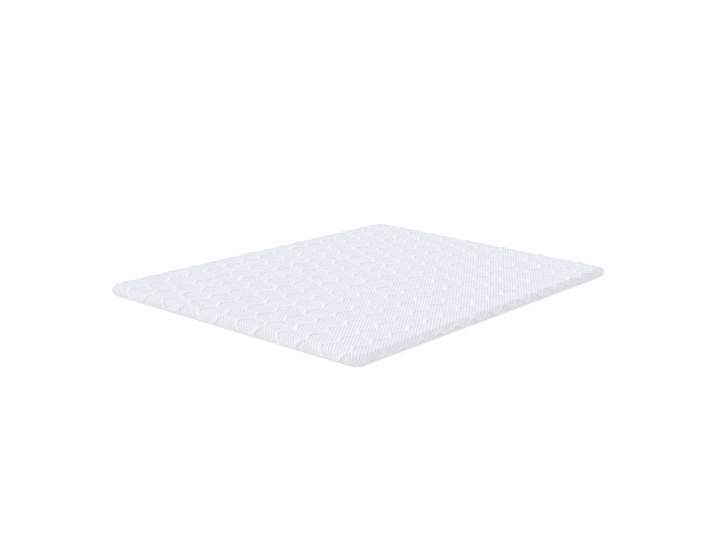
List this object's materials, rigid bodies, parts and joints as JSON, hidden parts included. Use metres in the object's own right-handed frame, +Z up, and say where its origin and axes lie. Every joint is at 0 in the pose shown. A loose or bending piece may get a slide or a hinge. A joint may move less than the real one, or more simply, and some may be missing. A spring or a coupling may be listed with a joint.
{
  "type": "mattress topper",
  "caption": "Thin rectangular mattress topper with bull-nosed edges, rounded corners and a white knitted cover raised in a honeycomb of low welts.",
  "frame": {"origin": "middle of the flat underside", "axes": "+X across the width, +Y along the length, +Z up through the thickness"},
  "size_m": [1.524, 2.032, 0.052],
  "materials": {
    "knitted_cover": "matt white knit with a faint blue cast, raised in a honeycomb of low welts with fine slanting ribs over it"
  },
  "bodies": {
    "root": {"topper": "knitted_cover"}
  },
  "joints": []
}
